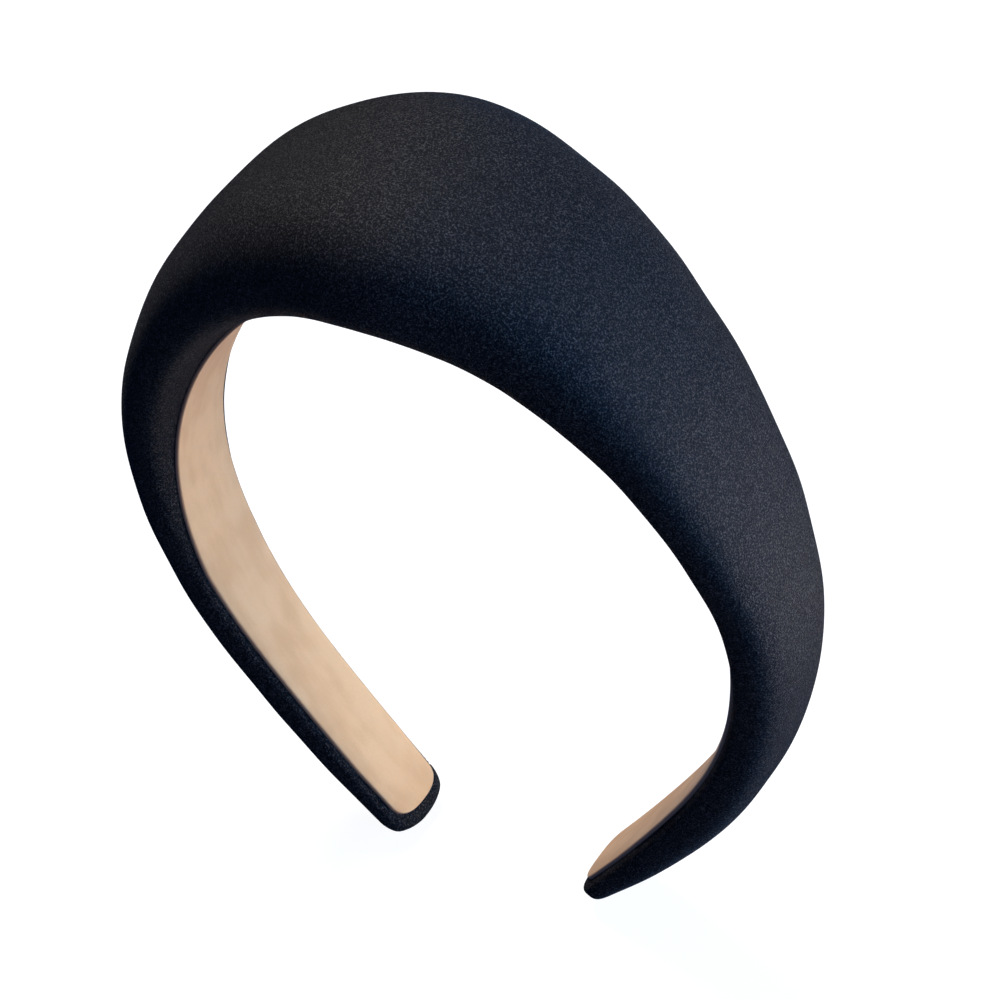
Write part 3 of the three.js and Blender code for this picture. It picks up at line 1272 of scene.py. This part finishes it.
@dataclass
class Studio:
    """A pale floor, soft lamps and the camera."""

    azimuth: float = 35.55
    elevation: float = 41.36
    roll: float = -8.20
    distance: float = 0.896
    lens: float = 170.3
    low_of_middle: float = 0.0042
    aim_right: float = 0.0060
    aim_up: float = 0.0074
    floor_size: float = 40.0
    lamps: Sequence[Lamp] = (
        Lamp("top_softbox", (-125, 62), 1.2, 0.6, 14, (1.0, 0.91, 0.78)),
        Lamp("right_softbox", (92, 18), 1.2, 0.7, 15, (0.06, 0.42, 1.0)),
        Lamp("arm_softbox", (114, -12), 0.27, 0.14, 0.58, (1.0, 0.88, 0.78)),
        Lamp("front_fill", (76, 5), 1.5, 0.6, 7.2, (1.0, 0.90, 0.78), glossy=False),
    )

    def build(self) -> None:
        """Builds the stage, the lamps, the world and the camera."""
        low, high = CAD_BOX
        middle = (low + high) / 2
        self.lay_floor(low.z)
        for lamp in self.lamps:
            lamp.hang(middle)
        self.light_world()
        self.set_camera(middle - Vector((0, 0, self.low_of_middle)))
        bpy.context.scene.view_settings.view_transform = "Standard"

    def lay_floor(self, level: float) -> None:
        """Lays the pale floor under the tips."""
        w = Wiring("pale_floor")
        mottled = w.noise(w.coordinates(), 3, 2, 0.5)
        base = w.mix(mottled, colour(0.22, 0.22, 0.22), colour(0.24, 0.24, 0.24))
        glow = {"Emission_Color": base, "Emission_Strength": 4.0}
        finish = w.close(base, 0.8, Specular_IOR_Level=0.1, **glow)
        r = self.floor_size / 2
        mesh = bpy.data.meshes.new("floor")
        corners = [(-r, -r, level), (r, -r, level), (r, r, level), (-r, r, level)]
        mesh.from_pydata(corners, [], [(0, 1, 2, 3)])
        mesh.materials.append(finish)
        floor = add_object("floor", mesh)
        floor.visible_glossy = False
        floor.visible_diffuse = False

    def light_world(self) -> None:
        """Surrounds the scene with weak blue light."""
        world = bpy.data.worlds.new("pale_surround")
        bpy.context.scene.world = world
        world.use_nodes = True
        background = world.node_tree.nodes["Background"]
        background.inputs["Color"].default_value = colour(0.20, 0.40, 1.0)
        background.inputs["Strength"].default_value = 0.31
        world.cycles_visibility.glossy = False

    def set_camera(self, target: Vector) -> None:
        """Sets the camera at its viewing angle, aimed a little off the target."""
        back = bearing(self.azimuth, self.elevation)
        a, r = math.radians(self.azimuth), math.radians(self.roll)
        level = Vector((math.cos(a), math.sin(a), 0))
        up = back.cross(level)
        right = math.cos(r) * level + math.sin(r) * up
        up = math.cos(r) * up - math.sin(r) * level
        place = target + self.distance * back
        aim = target + self.aim_right * right + self.aim_up * up
        back = (place - aim).normalized()
        right = up.cross(back).normalized()
        up = back.cross(right)
        data = bpy.data.cameras.new("camera")
        data.lens = self.lens
        data.sensor_width = 36
        data.clip_start = 0.05
        data.clip_end = 50
        camera = add_object("camera", data)
        turned = Matrix((right, up, back)).transposed().to_4x4()
        turned.translation = place
        camera.matrix_world = turned
        bpy.context.scene.camera = camera


def main() -> None:
    """Builds the studio and every layer of the headband."""
    logging.basicConfig(level=logging.INFO, format="%(name)s: %(message)s")
    Studio().build()
    form = BandForm()
    flex = Flex(form)
    strips = StripTree()
    tape = TapeFinish().material()
    layers: list[Layer] = [
        FoamPad(form, flex, "foam_pad", "foam", FoamFinish().material()),
        SatinCover(form, flex, "satin_cover", "satin", SatinFinish().material()),
        SuedeLining(form, flex, "suede_lining", "suede", SuedeFinish().material()),
        Strip(
            *(form, flex, "plastic_hoop", "hoop", HoopFinish().material(), strips),
            level=form.hoop_bottom,
            thickness=form.hoop_thickness,
            end_inset=form.cover_wall + form.hoop_end_room,
            half_width=form.hoop_half,
            edge_radius=0.0004,
            round_end=0.006,
        ),
        Strip(
            *(form, flex, "pad_tape", "tape", tape, strips),
            level=form.pad_tape_bottom,
            thickness=form.pad_tape_thickness,
            end_inset=form.pad_end_inset,
            half_width=lambda s: form.hoop_half(s) - form.pad_tape_inset,
            edge_radius=0.00005,
            round_end=0.002,
        ),
        Strip(
            *(form, flex, "lining_tape", "tape", tape, strips),
            level=0.0,
            thickness=form.hoop_bottom - form.layer_gap,
            end_inset=form.lining_end_inset + form.hem_under_lining + form.lining_tape_end_room,
            half_width=form.lining_tape_half,
            edge_radius=0.00005,
            round_end=0.004,
        ),
    ]
    for layer in layers:
        for half in Half:
            layer.fit(half)


if __name__ == "__main__":
    main()
